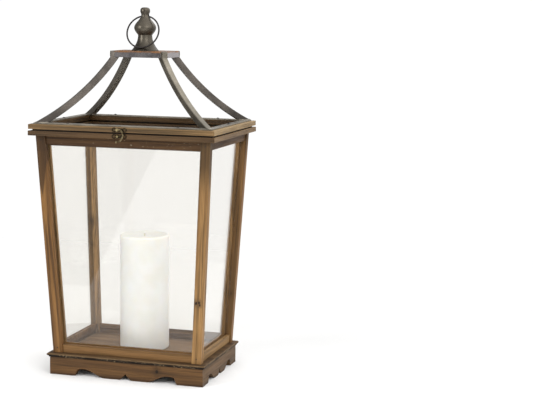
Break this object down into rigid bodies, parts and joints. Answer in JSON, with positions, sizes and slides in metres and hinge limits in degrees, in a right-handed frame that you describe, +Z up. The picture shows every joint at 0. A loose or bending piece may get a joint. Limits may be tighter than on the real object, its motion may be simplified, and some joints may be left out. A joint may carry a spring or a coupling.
{
  "type": "candle lantern",
  "caption": "Hurricane candle lantern: glazed wooden case that leans outward, hinged lid with an open roof of curved iron bars, turned finial, carrying ring, hook latch and pillar candle",
  "frame": {"origin": "centre of the lantern's footprint, on the surface it stands on", "axes": "+X along the long side to the right as seen from the latch side, +Y toward the hinge side at the back, +Z up; the latch is at the front, at -Y"},
  "size_m": [0.3906, 0.2927, 0.7475],
  "materials": {
    "golden_wood": "stained softwood, satin, golden brown with dark streaks",
    "dark_wood": "stained softwood, satin, dark brown with worn edges",
    "base_wood": "stained softwood, satin, dark brown with a near-black moulded edge",
    "clear_glass": "clear sheet glass",
    "pewter_iron": "dark pewter brown, soft sheen",
    "rusted_iron": "dark iron with rust rubbed along the edges",
    "dark_iron": "blackened, satin",
    "antique_brass": "antique, aged and dulled",
    "seat_strip": "near-black thin wooden strip, matte",
    "wax": "ivory wax, soft sheen",
    "wick": "plain cotton cord"
  },
  "bodies": {
    "lantern_body": {"skirt_front": "base_wood", "skirt_back": "base_wood", "skirt_left": "base_wood", "skirt_right": "base_wood", "base_board": "base_wood", "corner_blocks": "base_wood", "post_front_left": "golden_wood", "post_front_right": "golden_wood", "post_back_left": "golden_wood", "post_back_right": "golden_wood", "lower_rail_front": "golden_wood", "lower_rail_back": "golden_wood", "lower_rail_left": "golden_wood", "lower_rail_right": "golden_wood", "upper_rail_front": "dark_wood", "upper_rail_back": "dark_wood", "upper_rail_left": "dark_wood", "upper_rail_right": "dark_wood", "glass_front": "clear_glass", "glass_back": "clear_glass", "glass_left": "clear_glass", "glass_right": "clear_glass", "lower_beads": "golden_wood", "upper_beads": "dark_wood", "corner_beads": "golden_wood", "post_nails": "dark_iron", "rim_front": "dark_wood", "rim_back": "dark_wood", "rim_left": "dark_wood", "rim_right": "dark_wood", "lid_seat": "seat_strip", "hinge_leaf_case_left": "antique_brass", "hinge_leaf_case_right": "antique_brass", "hinge_pins": "antique_brass", "hinge_screws_case": "antique_brass", "latch_keeper_plate": "antique_brass", "latch_keeper_rivet": "antique_brass"},
    "lid": {"lid_front": "dark_wood", "lid_back": "dark_wood", "lid_left": "dark_wood", "lid_right": "dark_wood", "hinge_leaf_lid_left": "antique_brass", "hinge_leaf_lid_right": "antique_brass", "hinge_screws_lid": "antique_brass", "latch_lid_plate": "antique_brass", "latch_pivot_rivet": "antique_brass", "roof_base_frame": "pewter_iron", "roof_tacks": "dark_iron", "roof_bar_front_left": "pewter_iron", "roof_bar_front_right": "pewter_iron", "roof_bar_back_left": "pewter_iron", "roof_bar_back_right": "pewter_iron", "roof_cap": "rusted_iron", "finial": "pewter_iron", "finial_bolt": "dark_iron"},
    "latch_hook": {"latch_hook": "antique_brass"},
    "ring": {"ring_handle": "dark_iron"},
    "candle": {"candle": "wax", "candle_wick": "wick"}
  },
  "joints": [
    {"name": "lid_hinge", "type": "hinge", "parent": "lantern_body", "child": "lid", "pos_m": [0, 0.1434, 0.50325], "axis": [-1, 0, 0], "range_deg": [0, 110]},
    {"name": "hook_swing", "type": "hinge", "parent": "lid", "child": "latch_hook", "pos_m": [-0.004, -0.1427, 0.51], "axis": [0, -1, 0], "range_deg": [0, 100]},
    {"name": "ring_swing", "type": "hinge", "parent": "lid", "child": "ring", "pos_m": [0, 0, 0.73], "axis": [-1, 0, 0], "range_deg": [0, 316]},
    {"name": "candle_lift", "type": "slide", "parent": "lantern_body", "child": "candle", "axis": [0, 0, 1], "range_m": [0, 0.34]}
  ]
}
